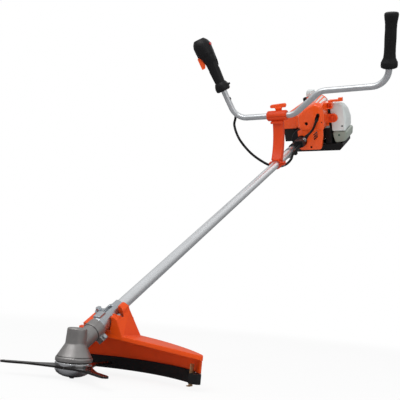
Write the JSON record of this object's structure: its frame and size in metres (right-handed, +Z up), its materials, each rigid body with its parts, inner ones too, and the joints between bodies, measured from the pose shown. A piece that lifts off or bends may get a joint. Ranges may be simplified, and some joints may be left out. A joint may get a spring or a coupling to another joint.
{
  "type": "brush cutter",
  "caption": "Petrol brush cutter: angled gear head with a toothed steel blade and orange guard, straight drive tube, two-grip handlebar on a curved column, shrouded engine behind.",
  "frame": {"origin": "centre of the harness eye, the hole that the machine hangs from", "axes": "+X to the operator's left, +Y towards the rear along the ground, +Z up and parallel to the blade spindle"},
  "size_m": [0.7477, 1.5405, 1.1474],
  "materials": {
    "cast_alloy": "cast, satin",
    "steel": "machined",
    "blade_steel": "dark ground steel",
    "chrome": "polished",
    "tube_alloy": "satin anodised",
    "clear_steel": "zinc plated",
    "orange_plastic": "glossy",
    "column_orange": "satin paint",
    "guard_orange": "moulded, satin",
    "black_plastic": "fine grain",
    "black_rubber": "matte",
    "white_plastic": "smooth",
    "grey_plastic": "translucent grey-green",
    "pale_plastic": "smooth",
    "filter_felt": "pleated",
    "tan_steel": "warm-toned",
    "red_plastic": "smooth",
    "black_steel": "heat-proof matt"
  },
  "bodies": {
    "frame": {"gear_head": "cast_alloy", "clamp_screws": "clear_steel", "spindle_bearings": "steel", "drive_bearings": "steel", "shaft_bushes": "black_rubber", "shaft_tube": "tube_alloy", "guard_bracket": "clear_steel", "guard_bolts": "clear_steel", "guard": "guard_orange", "guard_skirt": "black_plastic", "line_cutter": "tan_steel", "handle_column": "column_orange", "foot_cap": "column_orange", "clamp_cap": "column_orange", "throttle_cable": "black_rubber", "cable_holder": "black_plastic", "cable_adjuster": "clear_steel", "cable_boot": "black_rubber", "harness_eye": "clear_steel", "clutch_housing": "black_plastic", "crankcase": "cast_alloy", "crank_bearings": "steel", "engine_cylinder": "cast_alloy", "spark_plug": "black_rubber", "muffler": "black_steel", "carburettor": "cast_alloy", "engine_shroud": "orange_plastic", "winter_shutter": "pale_plastic", "filter_base": "black_plastic", "air_filter": "filter_felt", "filter_cover": "white_plastic", "fuel_tank": "grey_plastic", "base_tray": "black_plastic", "starter_housing": "black_plastic"},
    "blade_spindle": {"bevel_gear": "steel", "output_spindle": "steel", "thrust_plate": "chrome", "blade": "blade_steel", "rider_plate": "chrome", "blade_nut": "steel"},
    "driveline": {"pinion": "steel", "drive_shaft": "steel", "clutch_drum": "steel"},
    "crank": {"crankshaft": "steel", "clutch_shoes": "cast_alloy", "flywheel": "cast_alloy"},
    "bar": {"handlebar": "tube_alloy", "plain_grip": "black_rubber", "control_shell_front": "black_plastic", "control_shell_rear": "black_plastic", "control_fasteners": "steel", "bar_cable": "black_rubber"},
    "trigger": {"throttle_trigger": "orange_plastic"},
    "lockout": {"lockout_lever": "black_plastic"},
    "button": {"stop_button": "red_plastic"},
    "wing": {"wing_knob": "orange_plastic"},
    "filter_screw": {"filter_knob": "orange_plastic"},
    "choke": {"choke_lever": "orange_plastic"},
    "tank_cap": {"fuel_cap": "black_plastic"},
    "starter": {"starter_grip": "black_plastic"}
  },
  "joints": [
    {"name": "blade_spin", "type": "hinge", "parent": "frame", "child": "blade_spindle", "pos_m": [0.036, -1.13723, -0.74862], "axis": [0, 0, 1], "continuous": true},
    {"name": "driveline_spin", "type": "hinge", "parent": "frame", "child": "driveline", "pos_m": [0.036, -0.5436, -0.33968], "axis": [0, 0.848, 0.5299], "continuous": true},
    {"name": "crank_spin", "type": "hinge", "parent": "frame", "child": "crank", "pos_m": [0.036, 0.21032, 0.13142], "axis": [0, 0.848, 0.5299], "continuous": true},
    {"name": "handlebar_tilt", "type": "hinge", "parent": "frame", "child": "bar", "pos_m": [0.036, -0.14803, 0.0997], "axis": [1, 0, 0], "range_deg": [0, 60]},
    {"name": "trigger_pull", "type": "hinge", "parent": "bar", "child": "trigger", "pos_m": [-0.21995, -0.28559, 0.30757], "axis": [0.4782, -0.8119, -0.335], "range_deg": [0, 15], "stiffness_Nm_per_rad": 0.3, "springref_deg": -5.73},
    {"name": "lockout_squeeze", "type": "hinge", "parent": "bar", "child": "lockout", "pos_m": [-0.1991, -0.28153, 0.32749], "axis": [-0.4782, 0.8119, 0.335], "range_deg": [0, 4], "stiffness_Nm_per_rad": 0.4, "springref_deg": -5.73},
    {"name": "stop_press", "type": "slide", "parent": "bar", "child": "button", "axis": [-0.9557, 0.1252, -0.2663], "range_m": [0, 0.0025], "stiffness_N_per_m": 400, "springref_m": -0.001},
    {"name": "wing_knob_turn", "type": "hinge", "parent": "frame", "child": "wing", "pos_m": [0.036, -0.13192, 0.10977], "axis": [0, -0.5299, 0.848], "range_deg": [0, 360]},
    {"name": "filter_knob_turn", "type": "hinge", "parent": "frame", "child": "filter_screw", "pos_m": [0.154, 0.13845, 0.16906], "axis": [0, 0.848, 0.5299], "range_deg": [0, 360]},
    {"name": "choke_swing", "type": "hinge", "parent": "frame", "child": "choke", "pos_m": [0.151, 0.10157, 0.22619], "axis": [0, -0.5299, 0.848], "range_deg": [-35, 0]},
    {"name": "fuel_cap_turn", "type": "hinge", "parent": "frame", "child": "tank_cap", "pos_m": [0.169, 0.21668, 0.12124], "axis": [0, 0.848, 0.5299], "range_deg": [0, 360]},
    {"name": "starter_pull", "type": "slide", "parent": "frame", "child": "starter", "axis": [0, -0.5299, 0.848], "range_m": [0, 0.6], "stiffness_N_per_m": 25, "springref_m": -0.02}
  ],
  "couplings": [
    {"joint": "driveline_spin", "follows": "blade_spin", "ratio": -1.4}
  ]
}
